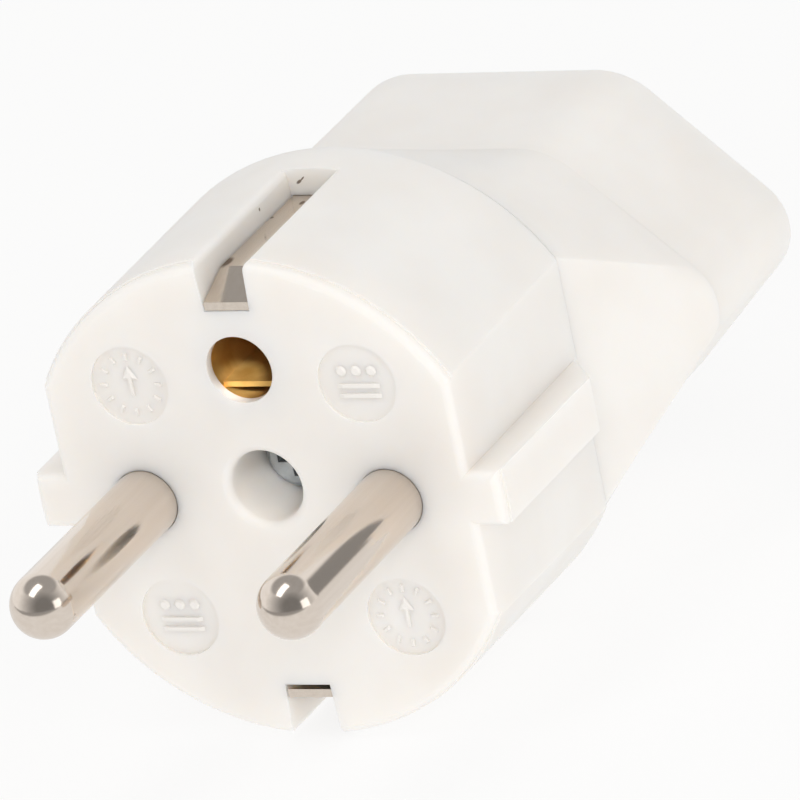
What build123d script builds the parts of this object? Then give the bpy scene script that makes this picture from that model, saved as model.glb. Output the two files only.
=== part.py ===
from build123d import *
import math
import os

# Plug adapter: an earthed two-pin plug moulding in front, a three-pole socket moulding behind it.
# X runs right, Y runs back from the plug face, Z runs up to the earth-pin hole, in millimetres.
# The origin lies on the plug face, midway between the two pins.

# Plug pins
pin_spacing = 19.0
pin_d = 4.8
pin_length = 19.0
pin_shank_d = 4.2
pin_mouth = 0.5
pin_flange_d = 7.0
pin_flange = 1.0
pin_tail_d = 3.2
pin_tail = 4.5
pin_clearance = 0.03

# Plug moulding
face_d = 36.0
plug_draft = 0.35
plug_length = 19.6
flat_width = 31.4
ear_height = 4.0
ear_length = 19.0
ear_ramp = 3.3
face_edge = 0.6
face_band = 0.8
band_step = 0.15
rim_edge = 0.35
plug_wall = 1.65
face_thickness = 4.0
pin_boss_d = 9.6
pin_boss = 8.0

# Earth slots at the top and bottom of the plug moulding
slot_width = 3.5
slot_flare = 0.17
lower_play = 0.35
slot_length = 15.7
slot_wall = 1.2
slot_edge = 0.5
window_gap = 0.04
bend_room = 0.1

# Earth-pin hole, assembly-screw hole and the four round marking recesses in the plug face
earth_hole_d = 5.0
earth_rise = 10.0
earth_lip = 0.8
earth_housing_d = 9.2
earth_housing = 5.0
screw_rise = 1.0
screw_hole_d = 5.4
screw_hole_edge = 0.6
screw_tower_d = 9.2
recess_d = 5.9
recess_depth = 0.25
recess_across = 17.6
recess_up = 17.7

# Assembly screw
head_d = 5.0
head_height = 2.2
head_depth = 5.2
shank_d = 3.0
shank_clearance = 0.2
thread_core_d = 2.4
pilot_clearance = 0.05
screw_seat = 2.6
screw_length = 15.0
drive_width = 0.8
drive_reach = 2.9
drive_depth = 1.2
head_edge = 0.5

# Earth clip: one folded strip with an arm in each slot
strip = 0.6
strip_width = 3.4
strip_gap = 0.05
strip_setback = 0.1
ramp_length = 3.5
ramp_rise = 1.2
bridge_gap = 0.2
bridge_land = 2.2
bend_radius = 0.5

# Sprung brass contacts
sleeve_wall = 0.6
earth_sleeve_wall = 0.4
sleeve_relief = 0.2
leaf = 0.4
leaf_width = 4.2
leaf_drop = 1.4
leaf_setback = 0.4
leaf_length = 8.0
pole_bore_d = 4.1
collar_length = 5.0
collar_fit = 0.02
lead_in = 1.6
slit = 0.6
slit_start = 4.0

# Socket moulding: a sleeve with a round front rim that becomes an elongated hexagon
rim_step = 0.3
seam = 0.25
shoulder_length = 12.8
body_length = 47.2
hex_width = 40.6
hex_height = 24.6
hex_slope = 45.0
hex_side_radius = 4.1
hex_top_radius = 5.9
lobe_step = 0.35
back_edge = 0.5
socket_wall = 2.2
flange = 1.5
lip = 1.6
lip_wall = 1.2
lip_clearance = 0.15

# Socket insert: a hexagonal cup with three pole holes and the boss that the assembly screw pulls on
insert_flange = 2.0
insert_rim_wall = 1.2
insert_clearance = 0.1
screw_boss_d = 6.0
boss_clearance = 0.3
well_width = 28.0
well_side_radius = 1.6
well_top_radius = 2.4
well_depth = 10.0
well_wall = 1.4
well_floor = 2.2
pole_hole_d = 4.6
earth_pole_drop = 5.0
pole_collar_d = 7.2
pole_collar = 1.5
pole_clearance = 0.1

# Stations along Y and heights along Z that several pieces share
rim_d = face_d + 2 * plug_draft
socket_rim_d = rim_d - 2 * rim_step
pin_x = pin_spacing / 2
pin_seat = face_thickness + pin_boss
flange_back = pin_seat + pin_flange
head_seat = head_depth + head_height
tower_end = head_seat + screw_seat
bridge_front = slot_length + slot_wall + bridge_gap
bridge_back = bridge_front + strip
cavity_r = rim_d / 2 - plug_wall
cavity_x = flat_width / 2 - plug_wall
socket_front = plug_length + seam
hex_front = socket_front + shoulder_length
well_height = hex_height - 2 * (socket_wall + insert_clearance + well_wall)
well_bottom = body_length - well_depth
well_front = well_bottom - well_floor
insert_seat = body_length - insert_flange
sleeve_d = pole_bore_d + 2 * sleeve_wall
earth_sleeve_d = earth_hole_d + 2 * (sleeve_relief + earth_sleeve_wall)
earth_pocket_d = earth_sleeve_d + 2 * pole_clearance
slot_floor = earth_rise + earth_pocket_d / 2 + slot_wall
socket_flat = flat_width / 2 - rim_step
lobe_angle = math.degrees(math.acos(2 * socket_flat / socket_rim_d))
arm_height = slot_floor + strip_gap + ramp_rise
poles = [(-pin_x, 0), (pin_x, 0), (0, -earth_pole_drop)]


def run(profile, start, end):
    """Solid of a cross-section profile between two depths behind the plug face."""
    return extrude(Plane.XZ.offset(-start) * profile, amount=start - end)


def rod(diameter, start, end, x=0.0, z=0.0):
    """Round bar along Y between two depths."""
    return run(Pos(x, z) * Circle(diameter / 2), start, end)


def turned(*points):
    """Body turned about the Y axis from (depth, radius) points."""
    return revolve(Plane.YZ * make_face(Polyline(*points, close=True)), axis=Axis.Y)


def clipped_round(radius, half_width):
    """Circle with its left and right sides cut flat."""
    return Circle(radius) & Rectangle(2 * half_width, 2 * radius)


def rounded_corner(corner, before, after, radius):
    """Start, middle and end of the arc that rounds one corner of a polygon."""
    back = (before - corner).normalized()
    ahead = (after - corner).normalized()
    half = math.radians(back.get_angle(ahead) / 2)
    bisector = (back + ahead).normalized()
    reach = radius / math.tan(half)
    middle = corner + bisector * (radius / math.sin(half) - radius)
    return corner + back * reach, middle, corner + ahead * reach


def sharp_hexagon(reach, top):
    """Corners of an elongated hexagon whose slopes lie a reach from the axis, from the right-hand one."""
    slope = math.radians(hex_slope)
    tip = reach / math.sin(slope)
    shoulder = tip - top / math.tan(slope)
    corners = [(tip, 0), (shoulder, top), (-shoulder, top), (-tip, 0), (-shoulder, -top), (shoulder, -top)]
    return [Vector(x, 0, z) for x, z in corners]


def hexagon_reach(width, side_radius):
    """Distance from the axis to the slopes of a hexagon with rounded left and right corners."""
    return (width / 2 - side_radius) * math.sin(math.radians(hex_slope)) + side_radius


def hexagon_corners(width, height, side_radius, top_radius, inset=0.0):
    """Rounded corners of an elongated hexagon, counter-clockwise from the right-hand one."""
    sharp = sharp_hexagon(hexagon_reach(width, side_radius) - inset, height / 2 - inset)
    radii = [side_radius - inset, top_radius - inset, top_radius - inset] * 2
    return [
        rounded_corner(sharp[i], sharp[i - 1], sharp[(i + 1) % 6], radii[i])
        for i in range(6)
    ]


def hexagon_face(corners, depth, step=0.0):
    """Face of twelve edges at one depth, with its left and right corners pushed out by a step."""
    shift = [Vector(step, depth, 0), Vector(0, depth, 0), Vector(0, depth, 0)]
    shift += [Vector(-step, depth, 0), Vector(0, depth, 0), Vector(0, depth, 0)]
    placed = [[point + move for point in corner] for corner, move in zip(corners, shift)]
    edges = []
    for i in range(6):
        edges.append(Edge.make_three_point_arc(*placed[i]))
        edges.append(Edge.make_line(placed[i][2], placed[(i + 1) % 6][0]))
    return Face(Wire(edges))


def round_face(corners, depth, radius):
    """Circle with a flat each side, in twelve edges that meet those of the hexagon one to one."""
    low = math.degrees(math.atan2(corners[1][0].Z, corners[1][0].X))
    high = math.degrees(math.atan2(corners[1][2].Z, corners[1][2].X))
    quarter = [lobe_angle, low, high]
    stops = quarter + [180 - a for a in reversed(quarter)]
    stops += [180 + a for a in quarter] + [360 - a for a in reversed(quarter)]
    stops = [-lobe_angle] + stops[:-1] + [360 - lobe_angle]

    def at(angle):
        turn = math.radians(angle)
        return Vector(radius * math.cos(turn), depth, radius * math.sin(turn))

    edges = [
        Edge.make_three_point_arc(at(a), at((a + b) / 2), at(b))
        for a, b in zip(stops, stops[1:])
    ]
    for side in (0, 6):
        edges[side] = Edge.make_line(at(stops[side]), at(stops[side + 1]))
    return Face(Wire(edges))


def plug_moulding():
    """Round plug body with side flats, guide ears, earth slots and an open back."""
    body = turned(
        (0, 0), (0, face_d / 2), (face_band, face_d / 2), (face_band, face_d / 2 + band_step),
        (plug_length, rim_d / 2), (plug_length, 0),
    )
    tall = rim_d / 2 - ear_height / 2
    for side in (-1, 1):
        for up in (-1, 1):
            centre = Pos(side * (flat_width / 2 + rim_d / 4), up * (ear_height / 2 + tall / 2))
            body -= run(centre * Rectangle(rim_d / 2, tall), 0, plug_length)
        flat = side * flat_width / 2
        ramp_start = ear_length - ear_ramp
        past_end = plug_length + ear_length
        past_ear = make_face(Polyline(
            (flat, ear_length), (side * rim_d / 2, ramp_start), (side * rim_d, ramp_start),
            (side * rim_d, past_end), (flat, past_end), close=True,
        ))
        body -= extrude(past_ear, amount=ear_height, both=True)
    ends = body.faces().filter_by(Axis.Y).sort_by(Axis.Y)
    body = fillet(ends[0].edges(), face_edge)
    ends = body.faces().filter_by(Axis.Y).sort_by(Axis.Y)
    body = fillet(ends[-1].edges(), rim_edge)

    channel = slot_width / 2 + slot_flare + slot_wall
    body -= run(clipped_round(cavity_r, cavity_x), face_thickness, plug_length)
    inner = clipped_round(cavity_r + plug_wall / 2, cavity_x + plug_wall / 2)
    for x in (-pin_x, pin_x):
        body += rod(pin_boss_d, face_thickness / 2, pin_seat, x)
    body += rod(screw_tower_d, face_thickness / 2, tower_end, 0, screw_rise)
    body += rod(earth_housing_d, face_thickness / 2, face_thickness + earth_housing, 0, earth_rise)
    for up in (-1, 1):
        wall = Pos(0, up * (slot_floor - slot_wall + rim_d / 2)) * Rectangle(2 * channel, rim_d)
        body += run(wall & inner, face_thickness / 2, slot_length + slot_wall)

    for x in (-pin_x, pin_x):
        body -= rod(pin_d + 2 * pin_clearance, 0, pin_mouth, x)
        body -= rod(pin_shank_d + 2 * pin_clearance, pin_mouth, pin_seat, x)
    body -= rod(screw_hole_d, 0, head_seat, 0, screw_rise)
    body -= rod(shank_d + 2 * shank_clearance, head_seat, tower_end, 0, screw_rise)
    body -= rod(earth_hole_d, 0, earth_lip, 0, earth_rise)
    body -= rod(earth_pocket_d, earth_lip, face_thickness + earth_housing, 0, earth_rise)
    for x in (-recess_across / 2, recess_across / 2):
        for z in (-recess_up / 2, recess_up / 2):
            body -= rod(recess_d, 0, recess_depth, x, z)
    mouth = body.edges().filter_by(GeomType.CIRCLE).sort_by(
        lambda edge: (edge.arc_center - Vector(0, 0, screw_rise)).length
    )[0]
    body = fillet(mouth, screw_hole_edge)

    half = slot_width / 2
    for up, floor in ((-1, slot_floor - lower_play), (1, slot_floor)):
        slot = make_face(Polyline(
            (-half, up * floor), (half, up * floor),
            (half + slot_flare, up * rim_d / 2), (-half - slot_flare, up * rim_d / 2), close=True,
        ))
        low = arm_height - bend_room
        high = arm_height + strip + window_gap
        window = Pos(0, up * (low + high) / 2) * Rectangle(slot_width, high - low)
        body -= run(slot, 0, slot_length)
        body -= run(window, slot_length, slot_length + slot_wall)
    rims = [
        edge for edge in body.edges()
        if half < abs(edge.center().X) < half + slot_flare + slot_edge / 4
        and abs(edge.center().Z) > slot_floor + ramp_rise
        and edge.length > slot_length / 2
    ]
    return fillet(rims, slot_edge)


def hexagon_bar(corners, start, end):
    """Hexagonal bar between two depths."""
    return extrude(hexagon_face(corners, start), amount=end - start, dir=(0, 1, 0))


def socket_moulding():
    """Hollow sleeve: round front rim with a lip, shoulder with a lobe each side, hexagonal back."""
    outer = hexagon_corners(hex_width, hex_height, hex_side_radius, hex_top_radius)
    hollow = hexagon_corners(hex_width, hex_height, hex_side_radius, hex_top_radius, socket_wall)
    rebate = hexagon_corners(hex_width, hex_height, hex_side_radius, hex_top_radius, insert_rim_wall)
    rim_r = socket_rim_d / 2
    shoulder = [round_face(outer, socket_front, rim_r), hexagon_face(outer, hex_front, lobe_step)]
    body = loft(shoulder, ruled=True) + hexagon_bar(outer, hex_front, body_length)
    back = body.faces().filter_by(Axis.Y).sort_by(Axis.Y)[-1]
    body = fillet(back.edges(), back_edge)

    core_front = socket_front + flange
    core_r = rim_r - socket_wall
    back_reach = hexagon_reach(hex_width, hex_side_radius) - socket_wall
    front_ring = [point + Vector(0, socket_front, 0) for point in sharp_hexagon(core_r, core_r)]
    back_ring = sharp_hexagon(back_reach, hex_height / 2 - socket_wall)
    back_ring = [point + Vector(0, hex_front, 0) for point in back_ring]
    core = loft([Face(Wire.make_polygon(ring)) for ring in (front_ring, back_ring)], ruled=True)
    side = hex_width / 2 - socket_wall
    core &= turned((core_front, 0), (core_front, core_r), (hex_front, side), (hex_front, 0))
    front_x = socket_flat - socket_wall
    flare = make_face(Polyline(
        (-front_x, socket_front), (front_x, socket_front), (side, hex_front), (-side, hex_front), close=True,
    ))
    core &= extrude(flare, amount=rim_r, both=True)
    body -= core + hexagon_bar(hollow, hex_front, body_length)
    body -= hexagon_bar(rebate, insert_seat, body_length)

    lip_r = cavity_r - lip_clearance
    lip_x = cavity_x - lip_clearance
    opening = clipped_round(lip_r - lip_wall, lip_x - lip_wall)
    body -= run(opening, socket_front, core_front)
    ring = clipped_round(lip_r, lip_x) - opening
    return body + run(ring, plug_length - lip, socket_front + flange / 2)


def socket_cup():
    """Insert: flange in the sleeve's back rebate, hexagonal well, pole holes with collars, screw boss."""
    inset = insert_rim_wall + insert_clearance
    rim = hexagon_corners(hex_width, hex_height, hex_side_radius, hex_top_radius, inset)
    well = hexagon_corners(well_width, well_height, well_side_radius, well_top_radius)
    cup = hexagon_corners(well_width, well_height, well_side_radius, well_top_radius, -well_wall)
    body = hexagon_bar(rim, insert_seat, body_length)
    body += hexagon_bar(cup, well_front, body_length)
    body -= hexagon_bar(well, well_bottom, body_length)
    body += rod(screw_boss_d, tower_end, well_bottom - well_floor / 2, 0, screw_rise)
    for x, z in poles:
        body += rod(pole_collar_d, well_front - pole_collar, well_bottom - well_floor / 2, x, z)
    for x, z in poles:
        body -= rod(sleeve_d + 2 * pole_clearance, well_front - pole_collar, well_front, x, z)
        body -= rod(pole_hole_d, well_front, well_bottom, x, z)
    pilot_end = head_seat + screw_length + shank_d
    body -= rod(thread_core_d + 2 * pilot_clearance, tower_end, pilot_end, 0, screw_rise)
    return body


def plug_pin(x):
    """Turned pin with a round nose, a seating flange and a tail for its contact."""
    r = pin_d / 2
    shank_r = pin_shank_d / 2
    flange_r = pin_flange_d / 2
    tail_r = pin_tail_d / 2
    tail_end = flange_back + pin_tail
    body = turned(
        (r - pin_length, 0), (r - pin_length, r), (0, r), (0, shank_r),
        (pin_seat, shank_r), (pin_seat, flange_r), (flange_back, flange_r),
        (flange_back, tail_r), (tail_end, tail_r), (tail_end, 0),
    )
    body += Pos(0, r - pin_length, 0) * Sphere(r)
    return Pos(x, 0, 0) * body


def slitted(body, start, end):
    """Pole sleeve cut into four spring fingers between two depths."""
    body -= run(Rectangle(slit, sleeve_d), start, end)
    body -= run(Rectangle(sleeve_d, slit), start, end)
    return body


def pole_contact(x):
    """Brass sleeve that is pressed on a pin tail and grips a socket-side pin."""
    bore = pole_bore_d / 2
    outer = sleeve_d / 2
    inner = pin_tail_d / 2 + collar_fit
    collar_end = flange_back + collar_length
    end = well_front - pole_clearance
    body = turned(
        (flange_back, inner), (flange_back, outer), (end, outer), (end, pole_hole_d / 2),
        (end - lead_in, bore), (collar_end, bore), (collar_end, inner),
    )
    return Pos(x, 0, 0) * slitted(body, collar_end + slit_start, end)


def earth_pole_contact():
    """Brass sleeve on the back of the earth clip for the socket-side earth pin."""
    bore = pole_bore_d / 2
    outer = sleeve_d / 2
    end = well_front - pole_clearance
    body = turned(
        (bridge_back, bore), (bridge_back, outer), (end, outer),
        (end, pole_hole_d / 2), (end - lead_in, bore),
    )
    return Pos(0, 0, -earth_pole_drop) * slitted(body, bridge_back + slit_start, end)


def earth_pin_sleeve():
    """Brass tube behind the earth-pin hole, with a spring leaf along its lower side."""
    outer = earth_sleeve_d / 2
    bore = outer - earth_sleeve_wall
    body = turned((earth_lip, bore), (earth_lip, outer), (bridge_front, outer), (bridge_front, bore))
    tongue_start = earth_lip + leaf_setback
    tongue = Pos(0, -leaf_drop - leaf / 2) * Rectangle(leaf_width, leaf)
    foot = Pos(0, -(leaf_drop + outer) / 2) * Rectangle(leaf_width, outer - leaf_drop)
    wall = Circle(bore + earth_sleeve_wall / 2)
    body += run(tongue & wall, tongue_start, tongue_start + leaf_length)
    body += run(foot & wall, tongue_start + leaf_length - leaf, tongue_start + leaf_length)
    return Pos(0, 0, earth_rise) * body


def earth_clip():
    """Folded strip: two ramped arms in the slots and a bridge with its lands behind them."""
    floor = slot_floor + strip_gap
    tip = strip_setback
    crest = tip + ramp_length
    outer = [(tip, floor + strip), (crest, arm_height + strip), (bridge_back, arm_height + strip)]
    inner = [(bridge_front, arm_height), (crest, arm_height), (tip, floor)]
    lower_outer = [(y, -z) for y, z in reversed(outer)]
    lower_inner = [(y, -z) for y, z in reversed(inner)]
    profile = make_face(Polyline(*outer, *lower_outer, *lower_inner, *inner, close=True))
    body = extrude(Plane.YZ * profile, amount=strip_width / 2, both=True)
    folds = body.edges().filter_by(Axis.X).sort_by(Axis.Y)
    body = fillet([e for e in folds if e.center().Y > bridge_back - strip / 4], bend_radius + strip)
    folds = body.edges().filter_by(Axis.X)
    inside = [e for e in folds if abs(e.center().Y - bridge_front) < strip / 4]
    body = fillet(inside, bend_radius)
    hole_d = screw_boss_d + 2 * boss_clearance
    body += rod(hole_d + 2 * bridge_land, bridge_front, bridge_back, 0, screw_rise)
    body += rod(earth_sleeve_d, bridge_front, bridge_back, 0, earth_rise)
    body += rod(sleeve_d, bridge_front, bridge_back, 0, -earth_pole_drop)
    body -= rod(hole_d, bridge_front, bridge_back, 0, screw_rise)
    return body


def assembly_screw():
    """Cheese-head screw with a cross recess that clamps the two mouldings."""
    end = head_seat + screw_length
    body = turned(
        (head_depth, 0), (head_depth, head_d / 2), (head_seat, head_d / 2), (head_seat, shank_d / 2),
        (tower_end, shank_d / 2), (tower_end, thread_core_d / 2), (end, thread_core_d / 2), (end, 0),
    )
    top = body.edges().filter_by(GeomType.CIRCLE).sort_by(Axis.Y)[0]
    body = chamfer(top, head_edge)
    cross = Rectangle(drive_reach, drive_width) + Rectangle(drive_width, drive_reach)
    body -= run(cross, head_depth, head_depth + drive_depth)
    return Pos(0, 0, screw_rise) * body


os.makedirs("parts", exist_ok=True)
nodes = {
    "plug_body": plug_moulding(),
    "socket_body": socket_moulding(),
    "socket_insert": socket_cup(),
    "left_pin": plug_pin(-pin_x),
    "right_pin": plug_pin(pin_x),
    "left_contact": pole_contact(-pin_x),
    "right_contact": pole_contact(pin_x),
    "earth_clip": earth_clip(),
    "earth_pin_sleeve": earth_pin_sleeve(),
    "earth_contact": earth_pole_contact(),
    "assembly_screw": assembly_screw(),
}
for name, solid in nodes.items():
    export_step(solid, f"parts/{name}.step")
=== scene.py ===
import math
import bpy
from mathutils import Matrix, Vector


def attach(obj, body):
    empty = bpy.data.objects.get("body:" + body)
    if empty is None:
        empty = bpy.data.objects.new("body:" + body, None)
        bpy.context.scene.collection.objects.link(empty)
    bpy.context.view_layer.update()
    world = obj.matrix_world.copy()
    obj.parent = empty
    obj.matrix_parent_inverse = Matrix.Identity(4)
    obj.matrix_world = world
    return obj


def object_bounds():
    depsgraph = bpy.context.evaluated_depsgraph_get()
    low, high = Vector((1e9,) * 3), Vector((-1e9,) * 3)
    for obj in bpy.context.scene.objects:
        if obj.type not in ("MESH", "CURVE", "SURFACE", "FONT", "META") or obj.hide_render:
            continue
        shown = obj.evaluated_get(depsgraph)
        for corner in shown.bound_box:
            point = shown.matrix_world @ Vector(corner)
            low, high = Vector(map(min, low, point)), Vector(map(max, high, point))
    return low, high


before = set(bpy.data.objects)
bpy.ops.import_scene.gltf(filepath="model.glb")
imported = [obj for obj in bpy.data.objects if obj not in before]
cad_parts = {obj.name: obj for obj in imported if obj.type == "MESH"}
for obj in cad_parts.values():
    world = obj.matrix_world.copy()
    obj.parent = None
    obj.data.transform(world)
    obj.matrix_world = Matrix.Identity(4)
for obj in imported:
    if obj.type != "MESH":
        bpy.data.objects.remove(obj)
cad_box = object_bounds()

# Plug and socket mouldings
# Three injection mouldings of a warm white polyamide: the plug half, the socket sleeve and its insert.
# They come out of a finely eroded mould, so the skin is satin with a grain too fine to feel.
MM = 0.001


def srgb(code):
    """Linear colour of an sRGB hex value."""
    parts = [int(code[i:i + 2], 16) / 255 for i in (1, 3, 5)]
    return (*[p / 12.92 if p <= 0.04045 else ((p + 0.055) / 1.055) ** 2.4 for p in parts], 1.0)


def add(tree, kind, sockets=None, **settings):
    """New node with its settings, and a value or a link for each named or numbered input."""
    made = tree.nodes.new(kind)
    for name, value in settings.items():
        setattr(made, name, value)
    for name, value in (sockets or {}).items():
        if isinstance(value, bpy.types.NodeSocket):
            tree.links.new(value, made.inputs[name])
        else:
            made.inputs[name].default_value = value
    return made


def blank_material(name):
    """New material with an empty tree. Returns it with its tree and its Object coordinates."""
    material = bpy.data.materials.new(name)
    material.use_nodes = True
    tree = material.node_tree
    tree.nodes.clear()
    return material, tree, add(tree, "ShaderNodeTexCoord").outputs["Object"]


def dress(nodes, material):
    """Give CAD nodes one material."""
    for name in nodes:
        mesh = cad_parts[name].data
        mesh.materials.clear()
        mesh.materials.append(material)


def stained(tree, place, colour, stain, spots):
    """A colour with small soft-edged stains. Each spot has a middle, its half sizes and a turn about Y."""
    for middle, half_size, turn in spots:
        spot = add(tree, "ShaderNodeMapping", {
            "Vector": place, "Location": middle, "Scale": half_size, "Rotation": (0.0, turn, 0.0)},
            vector_type="TEXTURE")
        reach = add(tree, "ShaderNodeVectorMath", {0: spot.outputs[0]}, operation="LENGTH")
        cover = add(tree, "ShaderNodeMapRange", {
            "Value": reach.outputs["Value"], "From Min": 0.6, "To Min": 0.9, "To Max": 0.0})
        mixed = add(tree, "ShaderNodeMix", {0: cover.outputs[0], 6: colour, 7: srgb(stain)}, data_type="RGBA")
        colour = mixed.outputs[2]
    return colour


def satin_polyamide(name, light, deep, translucence, specks=()):
    """Moulded polyamide: a soft satin white that light sinks into, faintly clouded, with a few dark specks.

    The eroded grain is about 0.03 mm wide on such a mould. It is drawn coarser, so that it shows.
    """
    cloud = 7.0 * MM
    ripple = 2.2 * MM
    ripple_depth = 0.02 * MM
    grain = 0.14 * MM
    grain_depth = 0.006 * MM
    glow_depth = 1.8 * MM
    material, tree, place = blank_material(name)
    clouds = add(tree, "ShaderNodeTexNoise", {"Vector": place, "Scale": 1 / cloud, "Detail": 2.0})
    tint = add(tree, "ShaderNodeValToRGB", {"Fac": clouds.outputs[0]})
    tint.color_ramp.elements[0].color = srgb(light)
    tint.color_ramp.elements[0].position = 0.35
    tint.color_ramp.elements[1].color = srgb(deep)
    tint.color_ramp.elements[1].position = 0.7
    waves = add(tree, "ShaderNodeTexNoise", {"Vector": place, "Scale": 1 / ripple, "Detail": 1.0})
    gloss = add(tree, "ShaderNodeMapRange", {"Value": waves.outputs[0], "To Min": 0.36, "To Max": 0.46})
    pits = add(tree, "ShaderNodeTexNoise", {"Vector": place, "Scale": 1 / grain, "Detail": 3.0})
    soft = add(tree, "ShaderNodeBump", {
        "Height": waves.outputs[0], "Strength": 0.15, "Distance": ripple_depth})
    rough = add(tree, "ShaderNodeBump", {
        "Height": pits.outputs[0], "Strength": 0.2, "Distance": grain_depth, "Normal": soft.outputs[0]})
    shader = add(tree, "ShaderNodeBsdfPrincipled", {
        "Base Color": stained(tree, place, tint.outputs[0], "#6E5A44", specks),
        "Roughness": gloss.outputs[0], "Normal": rough.outputs[0], "IOR": 1.53,
        "Subsurface Weight": translucence, "Subsurface Scale": glow_depth,
        "Subsurface Radius": (1.0, 0.9, 0.78)})
    add(tree, "ShaderNodeOutputMaterial", {"Surface": shader.outputs[0]})
    return material


slot_specks = (
    (Vector((-1.0, 15.7, 17.3)) * MM, Vector((0.3, 0.25, 0.13)) * MM, -0.6),
    (Vector((-0.7, 15.7, 17.53)) * MM, Vector((0.26, 0.25, 0.07)) * MM, -0.75),
    (Vector((-1.88, 10.9, 17.31)) * MM, Vector((0.2, 0.13, 0.16)) * MM, 0.0),
)
moulding_white = satin_polyamide("satin_white_polyamide", "#F3EFEA", "#F0EBE5", 0.7, slot_specks)
dress(["plug_body", "socket_body", "socket_insert"], moulding_white)

# Moulding marks
# Raised marks on the floors of the four face recesses, in one piece with the plug moulding: a date clock in
# two of them, which is a ring of ticks round an arrow, and a cavity code of bars and pips in the others.
# They are engraved in the mould, so each stands a hair high and has drafted sides.
recess_x = 8.8 * MM
recess_z = 8.85 * MM
recess_floor = 0.25 * MM
mark_rise = 0.13 * MM
tick_top = 0.62
head_top = 0.5
bar_top = 0.75


def node_tree(name, **inputs):
    """New geometry tree with named inputs. Returns it with its input sockets by name."""
    tree = bpy.data.node_groups.new(name, "GeometryNodeTree")
    tree.interface.new_socket("Geometry", in_out="OUTPUT", socket_type="NodeSocketGeometry")
    for label, kind in inputs.items():
        tree.interface.new_socket(label, in_out="INPUT", socket_type="NodeSocket" + kind)
    return tree, add(tree, "NodeGroupInput").outputs


def grow(name, tree, values):
    """Plain mesh object of a geometry tree whose inputs have the given values."""
    piece = bpy.data.objects.new(name, bpy.data.meshes.new(name))
    bpy.context.scene.collection.objects.link(piece)
    modifier = piece.modifiers.new(name, "NODES")
    modifier.node_group = tree
    for socket in tree.interface.items_tree:
        if socket.in_out == "INPUT":
            modifier[socket.identifier] = values[socket.name]
    evaluated = piece.evaluated_get(bpy.context.evaluated_depsgraph_get())
    mesh = bpy.data.meshes.new_from_object(evaluated)
    piece.modifiers.remove(modifier)
    piece.data = mesh
    return piece


def drafted(tree, corners, turn, top):
    """Block of unit height on a regular base of half-diagonal 1, turned about Z, with a narrower top."""
    cone = add(tree, "GeometryNodeMeshCone", {
        "Vertices": corners, "Radius Top": top, "Radius Bottom": 1.0, "Depth": 1.0})
    turned = add(tree, "GeometryNodeTransform", {
        "Geometry": cone.outputs["Mesh"], "Rotation": (0.0, 0.0, turn)})
    return turned.outputs[0]


def set_in_recesses(tree, mark, inputs):
    """Copies of a flat mark, stood up to face forward, in two recesses that lie across from each other."""
    places = add(tree, "GeometryNodeMeshLine", {
        "Count": 2, "Start Location": inputs["First"], "Offset": inputs["Second"]}, mode="END_POINTS")
    copies = add(tree, "GeometryNodeInstanceOnPoints", {
        "Points": places.outputs[0], "Instance": mark, "Rotation": (math.pi / 2, 0.0, 0.0)})
    solid = add(tree, "GeometryNodeRealizeInstances", {0: copies.outputs[0]})
    coated = add(tree, "GeometryNodeSetMaterial", {
        "Geometry": solid.outputs[0], "Material": inputs["Finish"]})
    add(tree, "NodeGroupOutput", {0: coated.outputs[0]})


# The marks are too thin for light to sink into, so their polyamide has no translucence.
mark_white = satin_polyamide("thin_white_polyamide", "#F3EFEA", "#F0EBE5", 0.0)

tree, inputs = node_tree("date_clock", Ticks="Int", Ring="Float", Tick="Vector", Shaft="Vector",
                         Head="Vector", HeadPlace="Vector", First="Vector", Second="Vector",
                         Finish="Material")
block = drafted(tree, 4, math.pi / 4, tick_top)
ring = add(tree, "GeometryNodeMeshCircle", {"Vertices": inputs["Ticks"], "Radius": inputs["Ring"]})
step = add(tree, "ShaderNodeMath", {0: 2 * math.pi, 1: inputs["Ticks"]}, operation="DIVIDE")
number = add(tree, "GeometryNodeInputIndex")
angle = add(tree, "ShaderNodeMath", {0: number.outputs[0], 1: step.outputs[0], 2: -math.pi / 2},
            operation="MULTIPLY_ADD")
facing = add(tree, "ShaderNodeCombineXYZ", {"Z": angle.outputs[0]})
ticks = add(tree, "GeometryNodeInstanceOnPoints", {
    "Points": ring.outputs[0], "Instance": block, "Rotation": facing.outputs[0], "Scale": inputs["Tick"]})
shaft = add(tree, "GeometryNodeTransform", {"Geometry": block, "Scale": inputs["Shaft"]})
head = add(tree, "GeometryNodeTransform", {
    "Geometry": drafted(tree, 3, math.pi / 2, head_top), "Scale": inputs["Head"],
    "Translation": inputs["HeadPlace"]})
clock = add(tree, "GeometryNodeJoinGeometry", {0: ticks.outputs[0]})
for hand in (shaft, head):
    tree.links.new(hand.outputs[0], clock.inputs[0])
set_in_recesses(tree, clock.outputs[0], inputs)
date_clocks = grow("date_clocks", tree, {
    "Ticks": 12, "Ring": 2.1 * MM, "Tick": (0.17 * MM, 0.42 * MM, mark_rise),
    "Shaft": (0.2 * MM, 1.3 * MM, mark_rise),
    "Head": (0.7 * MM, 0.7 * MM, mark_rise), "HeadPlace": (0.0, 0.75 * MM, 0.0),
    "First": (-recess_x, recess_floor, recess_z), "Second": (recess_x, recess_floor, -recess_z),
    "Finish": mark_white})

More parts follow.
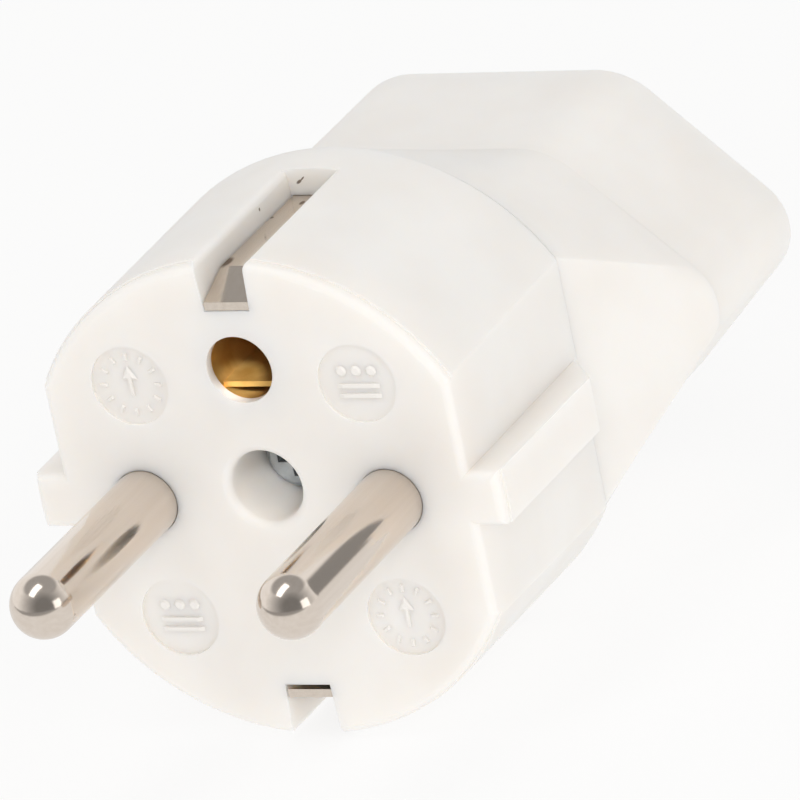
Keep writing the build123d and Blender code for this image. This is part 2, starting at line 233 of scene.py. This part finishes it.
tree, inputs = node_tree("cavity_code", Pips="Int", Pip="Vector", PipStart="Vector", PipStep="Vector",
                         Bars="Int", Bar="Vector", BarStart="Vector", BarStep="Vector",
                         First="Vector", Second="Vector", Finish="Material")
pip_row = add(tree, "GeometryNodeMeshLine", {
    "Count": inputs["Pips"], "Start Location": inputs["PipStart"], "Offset": inputs["PipStep"]},
    mode="OFFSET")
pips = add(tree, "GeometryNodeInstanceOnPoints", {
    "Points": pip_row.outputs[0], "Instance": drafted(tree, 16, 0.0, tick_top), "Scale": inputs["Pip"]})
bar_column = add(tree, "GeometryNodeMeshLine", {
    "Count": inputs["Bars"], "Start Location": inputs["BarStart"], "Offset": inputs["BarStep"]},
    mode="OFFSET")
bars = add(tree, "GeometryNodeInstanceOnPoints", {
    "Points": bar_column.outputs[0], "Instance": drafted(tree, 4, math.pi / 4, bar_top),
    "Scale": inputs["Bar"]})
code = add(tree, "GeometryNodeJoinGeometry", {0: pips.outputs[0]})
tree.links.new(bars.outputs[0], code.inputs[0])
set_in_recesses(tree, code.outputs[0], inputs)
pip_pitch = 1.15 * MM
cavity_codes = grow("cavity_codes", tree, {
    "Pips": 3, "Pip": (0.4 * MM, 0.4 * MM, mark_rise),
    "PipStart": (-pip_pitch, 0.85 * MM, 0.0), "PipStep": (pip_pitch, 0.0, 0.0),
    "Bars": 2, "Bar": (2.3 * MM, 0.24 * MM, mark_rise),
    "BarStart": (0.0, -0.25 * MM, 0.0), "BarStep": (0.0, -0.75 * MM, 0.0),
    "First": (recess_x, recess_floor, recess_z), "Second": (-recess_x, recess_floor, -recess_z),
    "Finish": mark_white})
for mark in (date_clocks, cavity_codes):
    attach(mark, "root")

# Plug pins
# Two brass pins, turned on a lathe with a round nose and plated with bright nickel.
# The plating keeps faint turning rings and draws every reflection out along the shaft.


def bright_nickel(name, light, deep, ring, gloss, worn=()):
    """Bright nickel plate: warm grey mirror with fine rings, soft streaks along Y and worn brown spots.

    Real rings and streaks are a few hundredths of a millimetre apart. They are drawn coarser, to show.
    """
    ring_depth = 0.01 * MM
    streak = 0.35 * MM
    run = 14.0 * MM
    material, tree, place = blank_material(name)
    drawn = add(tree, "ShaderNodeMapping", {"Vector": place, "Scale": (1 / streak, 1 / run, 1 / streak)})
    streaks = add(tree, "ShaderNodeTexNoise", {"Vector": drawn.outputs[0], "Scale": 1.0, "Detail": 3.0})
    tint = add(tree, "ShaderNodeValToRGB", {"Fac": streaks.outputs[0]})
    tint.color_ramp.elements[0].color = srgb(light)
    tint.color_ramp.elements[0].position = 0.35
    tint.color_ramp.elements[1].color = srgb(deep)
    tint.color_ramp.elements[1].position = 0.7
    sheen = add(tree, "ShaderNodeMapRange", {
        "Value": streaks.outputs[0], "To Min": gloss[0], "To Max": gloss[1]})
    turned = add(tree, "ShaderNodeMapping", {"Vector": place, "Scale": (0.0, 1 / ring, 0.0)})
    rings = add(tree, "ShaderNodeTexNoise", {"Vector": turned.outputs[0], "Scale": 1.0, "Detail": 2.0})
    marks = add(tree, "ShaderNodeBump", {
        "Height": rings.outputs[0], "Strength": 0.12, "Distance": ring_depth})
    shader = add(tree, "ShaderNodeBsdfPrincipled", {
        "Base Color": stained(tree, place, tint.outputs[0], "#654C31", worn), "Metallic": 1.0,
        "Roughness": sheen.outputs[0], "Normal": marks.outputs[0]})
    add(tree, "ShaderNodeOutputMaterial", {"Surface": shader.outputs[0]})
    return material


turned_nickel = bright_nickel("turned_bright_nickel", "#E2D7CC", "#DED2C6", 0.16 * MM, (0.11, 0.17))
dress(["left_pin", "right_pin"], turned_nickel)

# Earth clip
# One strip of spring brass, folded to a bracket and nickel plated, with an arm in each slot.
# The rolled strip is duller than the pins, and the plating is worn at the upper arm's bend and in two specks.
worn_spots = (
    (Vector((-1.55, 4.3, 16.2)) * MM, Vector((0.42, 0.95, 0.3)) * MM, 0.0),
    (Vector((-1.6, 11.9, 16.25)) * MM, Vector((0.16, 0.2, 0.2)) * MM, 0.0),
    (Vector((-0.4, 14.4, 16.25)) * MM, Vector((0.22, 0.4, 0.2)) * MM, 0.0),
)
rolled_nickel = bright_nickel("rolled_nickel_strip", "#DED3C7", "#D8CCBF", 0.5 * MM, (0.12, 0.17), worn_spots)
dress(["earth_clip"], rolled_nickel)

# Brass contacts
# The earth-pin sleeve with its spring leaf and the three pole sleeves, rolled from bare sheet brass.
# Handling has dulled the sheet to a golden brown with darker clouds.


def bare_brass(name, light, deep):
    """Bare rolled brass: golden, half dulled by tarnish, with brown clouds and rolling lines along Y.

    The rolling lines are finer on real sheet. They are drawn coarser, so that they show.
    """
    cloud = 2.5 * MM
    line = 0.2 * MM
    line_depth = 0.01 * MM
    run = 6.0 * MM
    material, tree, place = blank_material(name)
    clouds = add(tree, "ShaderNodeTexNoise", {"Vector": place, "Scale": 1 / cloud, "Detail": 4.0})
    tint = add(tree, "ShaderNodeValToRGB", {"Fac": clouds.outputs[0]})
    tint.color_ramp.elements[0].color = srgb(light)
    tint.color_ramp.elements[0].position = 0.4
    tint.color_ramp.elements[1].color = srgb(deep)
    tint.color_ramp.elements[1].position = 0.75
    drawn = add(tree, "ShaderNodeMapping", {"Vector": place, "Scale": (1 / line, 1 / run, 1 / line)})
    lines = add(tree, "ShaderNodeTexNoise", {"Vector": drawn.outputs[0], "Scale": 1.0, "Detail": 2.0})
    sheen = add(tree, "ShaderNodeMapRange", {"Value": lines.outputs[0], "To Min": 0.24, "To Max": 0.36})
    marks = add(tree, "ShaderNodeBump", {"Height": lines.outputs[0], "Strength": 0.2, "Distance": line_depth})
    shader = add(tree, "ShaderNodeBsdfPrincipled", {
        "Base Color": tint.outputs[0], "Metallic": 0.7, "Roughness": sheen.outputs[0],
        "Normal": marks.outputs[0]})
    add(tree, "ShaderNodeOutputMaterial", {"Surface": shader.outputs[0]})
    return material


dress(["earth_pin_sleeve", "left_contact", "right_contact", "earth_contact"],
      bare_brass("bare_sheet_brass", "#EBC374", "#C99546"))

# Assembly screw
# A steel cheese-head screw, cold headed and plated with blue zinc, sunk deep in its hole.
# It cuts its own way into the boss behind and holds the two halves together.


def blue_zinc(name, light, deep):
    """Blue-passivated zinc plate: a cool, evenly soft grey with a fine crystal sparkle.

    Real crystals are too small to see. They are drawn far coarser, so that they show.
    """
    crystal = 0.25 * MM
    material, tree, place = blank_material(name)
    cells = add(tree, "ShaderNodeTexVoronoi", {"Vector": place, "Scale": 1 / crystal})
    tint = add(tree, "ShaderNodeValToRGB", {"Fac": cells.outputs["Color"]})
    tint.color_ramp.elements[0].color = srgb(light)
    tint.color_ramp.elements[1].color = srgb(deep)
    sheen = add(tree, "ShaderNodeMapRange", {
        "Value": cells.outputs["Distance"], "To Min": 0.3, "To Max": 0.42})
    shader = add(tree, "ShaderNodeBsdfPrincipled", {
        "Base Color": tint.outputs[0], "Metallic": 0.75, "Roughness": sheen.outputs[0]})
    add(tree, "ShaderNodeOutputMaterial", {"Surface": shader.outputs[0]})
    return material


dress(["assembly_screw"], blue_zinc("blue_zinc_plate", "#B6BBBE", "#A8AEB2"))

# Floor
# A large sheet of white paper on a light table, at the height of the part's lowest point.
# It glows from below and still takes a shadow. Past its front edge, mirror rays see the dim room.
scene = bpy.context.scene
scene.view_settings.view_transform = "Standard"
floor_half = 3.0
floor_z = cad_box[0][2]
paper_front = -0.095
paper_edge = 0.02
paper_level = 0.88
room_level = 0.22
table_glow = 0.9
seen_glow = 0.8

floor_mesh = bpy.data.meshes.new("floor")
floor_corners = ((-floor_half, -floor_half), (floor_half, -floor_half),
                 (floor_half, floor_half), (-floor_half, floor_half))
floor_mesh.from_pydata([(x, y, floor_z) for x, y in floor_corners], [], [(0, 1, 2, 3)])
floor = bpy.data.objects.new("floor", floor_mesh)
scene.collection.objects.link(floor)

paper, tree, place = blank_material("white_paper_floor")
path = add(tree, "ShaderNodeLightPath")
spot = add(tree, "ShaderNodeSeparateXYZ", {0: place})
mirror_level = add(tree, "ShaderNodeMapRange", {
    "Value": spot.outputs["Y"], "From Min": paper_front - paper_edge, "From Max": paper_front,
    "To Min": room_level, "To Max": paper_level})
level = add(tree, "ShaderNodeMix", {0: path.outputs["Is Glossy Ray"], 2: 1.0, 3: mirror_level.outputs[0]})
seen = add(tree, "ShaderNodeMath", {0: path.outputs["Is Camera Ray"], 1: path.outputs["Is Glossy Ray"]},
           operation="MAXIMUM")
seen = add(tree, "ShaderNodeMath", {0: seen.outputs[0], 1: path.outputs["Is Transmission Ray"]},
           operation="MAXIMUM")
share = add(tree, "ShaderNodeMapRange", {
    "Value": seen.outputs[0], "To Min": table_glow, "To Max": seen_glow})
sheet = add(tree, "ShaderNodeBsdfDiffuse", {"Color": srgb("#F8F7F5")})
glow = add(tree, "ShaderNodeEmission", {"Color": srgb("#FFFFFF"), "Strength": level.outputs[0]})
lit_sheet = add(tree, "ShaderNodeMixShader", {0: share.outputs[0], 1: sheet.outputs[0], 2: glow.outputs[0]})
add(tree, "ShaderNodeOutputMaterial", {"Surface": lit_sheet.outputs[0]})
floor_mesh.materials.append(paper)

# Tent
# White cloth all round, a little brighter in front, and plain white where the camera sees it.
# Mirror rays see white cloth with a dim ceiling, a dark flag at the back right and the dim room through
# the opening on the camera's side.
tent_level = 0.67
front_gain = 0.06
front_way = (0.1, -1.0, 0.0)
opening_way = (0.45, -0.85, 0.27)
flag_way = (0.53, 0.81, 0.25)
flag_level = 0.3
ceiling_level = 0.42

world = bpy.data.worlds.new("white_tent")
scene.world = world
world.use_nodes = True
tree = world.node_tree
tree.nodes.clear()
path = add(tree, "ShaderNodeLightPath")
way = add(tree, "ShaderNodeTexCoord").outputs["Generated"]
front = add(tree, "ShaderNodeVectorMath", {0: way, 1: front_way}, operation="DOT_PRODUCT")
cloth = add(tree, "ShaderNodeMath", {0: front.outputs["Value"], 1: front_gain, 2: tent_level},
            operation="MULTIPLY_ADD")
opening = add(tree, "ShaderNodeVectorMath", {0: way, 1: opening_way}, operation="DOT_PRODUCT")
room = add(tree, "ShaderNodeMapRange", {
    "Value": opening.outputs["Value"], "From Min": -0.1, "From Max": 0.9,
    "To Min": 1.0, "To Max": room_level})
flag = add(tree, "ShaderNodeVectorMath", {0: way, 1: flag_way}, operation="DOT_PRODUCT")
flagged = add(tree, "ShaderNodeMapRange", {
    "Value": flag.outputs["Value"], "From Min": 0.93, "From Max": 0.96,
    "To Min": 1.0, "To Max": flag_level})
rise = add(tree, "ShaderNodeSeparateXYZ", {0: way})
ceiling = add(tree, "ShaderNodeMapRange", {
    "Value": rise.outputs["Z"], "From Min": 0.62, "From Max": 0.74,
    "To Min": 1.0, "To Max": ceiling_level})
mirror_level = add(tree, "ShaderNodeMath", {0: room.outputs[0], 1: flagged.outputs[0]}, operation="MINIMUM")
mirror_level = add(tree, "ShaderNodeMath", {0: mirror_level.outputs[0], 1: ceiling.outputs[0]},
                   operation="MINIMUM")
unseen_level = add(tree, "ShaderNodeMix", {
    0: path.outputs["Is Glossy Ray"], 2: cloth.outputs[0], 3: mirror_level.outputs[0]})
seen = add(tree, "ShaderNodeMath", {0: path.outputs["Is Camera Ray"], 1: path.outputs["Is Transmission Ray"]},
           operation="MAXIMUM")
level = add(tree, "ShaderNodeMix", {0: seen.outputs[0], 2: unseen_level.outputs[0], 3: 1.0})
sky = add(tree, "ShaderNodeBackground", {"Color": srgb("#FFFFFF"), "Strength": level.outputs[0]})
add(tree, "ShaderNodeOutputWorld", {"Surface": sky.outputs[0]})

# Lamps
# Soft boxes overhead and on the right, which the metal mirrors, and fills in front and at the upper right,
# which it doesn't. Two narrow snoots reach into the earth-pin hole and the screw hole, each as far off as
# its cone needs to be as wide as the beam at the mouth of the hole.
middle = Vector((0.0, 0.5 * (cad_box[0][1] + cad_box[1][1]), 0.0))
for name, place, width, height, power, mirrored in (
    ("overhead_box", (-0.16, -0.32, 0.94), 0.36, 0.8, 1.6, True),
    ("right_box", (0.97, -0.24, 0.10), 0.5, 0.66, 1.2, True),
    ("front_fill", (0.42, -0.82, 0.42), 0.3, 0.3, 1.65, False),
    ("upper_fill", (0.72, -0.35, 0.60), 0.5, 0.5, 0.7, False),
):
    lamp = bpy.data.lights.new(name, "AREA")
    lamp.shape = "RECTANGLE"
    lamp.size = width
    lamp.size_y = height
    lamp.energy = power
    box = bpy.data.objects.new(name, lamp)
    box.location = place
    box.rotation_euler = (middle - Vector(place)).to_track_quat("-Z", "Y").to_euler()
    box.visible_glossy = mirrored
    scene.collection.objects.link(box)

snoot_angle = math.radians(1.0)
for name, mouth, way_out, beam_r, power in (
    ("earth_hole_snoot", (0.0, 0.0, 10.0 * MM), (0.38, -0.74, 0.56), 1.6 * MM, 4.0),
    ("screw_hole_snoot", (0.0, 0.0, 1.0 * MM), (0.40, -0.80, 0.45), 2.2 * MM, 1.0),
):
    lamp = bpy.data.lights.new(name, "SPOT")
    lamp.energy = power
    lamp.shadow_soft_size = 0.5 * MM
    lamp.spot_size = snoot_angle
    lamp.spot_blend = 0.4
    ray = Vector(way_out).normalized()
    snoot = bpy.data.objects.new(name, lamp)
    snoot.location = Vector(mouth) + ray * (beam_r / math.tan(snoot_angle / 2))
    snoot.rotation_euler = (-ray).to_track_quat("-Z", "Y").to_euler()
    snoot.visible_camera = False
    scene.collection.objects.link(snoot)

# Camera
# A long lens from the front right and above, rolled so that the part leans in the picture.
# Its right, up and back directions are fitted to the pins, the hole and the outline.
camera_place = (0.38267, -0.67691, 0.31331)
right = Vector((0.89466, 0.40325, -0.19230))
up = Vector((0.00831, 0.41534, 0.90963))
back = Vector((0.44667, -0.81540, 0.36824))
lens = bpy.data.cameras.new("camera")
lens.sensor_fit = "HORIZONTAL"
lens.sensor_width = 36.0
lens.lens = 545.4
lens.clip_start = 0.05
lens.clip_end = 20.0
camera = bpy.data.objects.new("camera", lens)
camera.matrix_world = Matrix.Translation(camera_place) @ Matrix((right, up, back)).transposed().to_4x4()
scene.collection.objects.link(camera)
scene.camera = camera
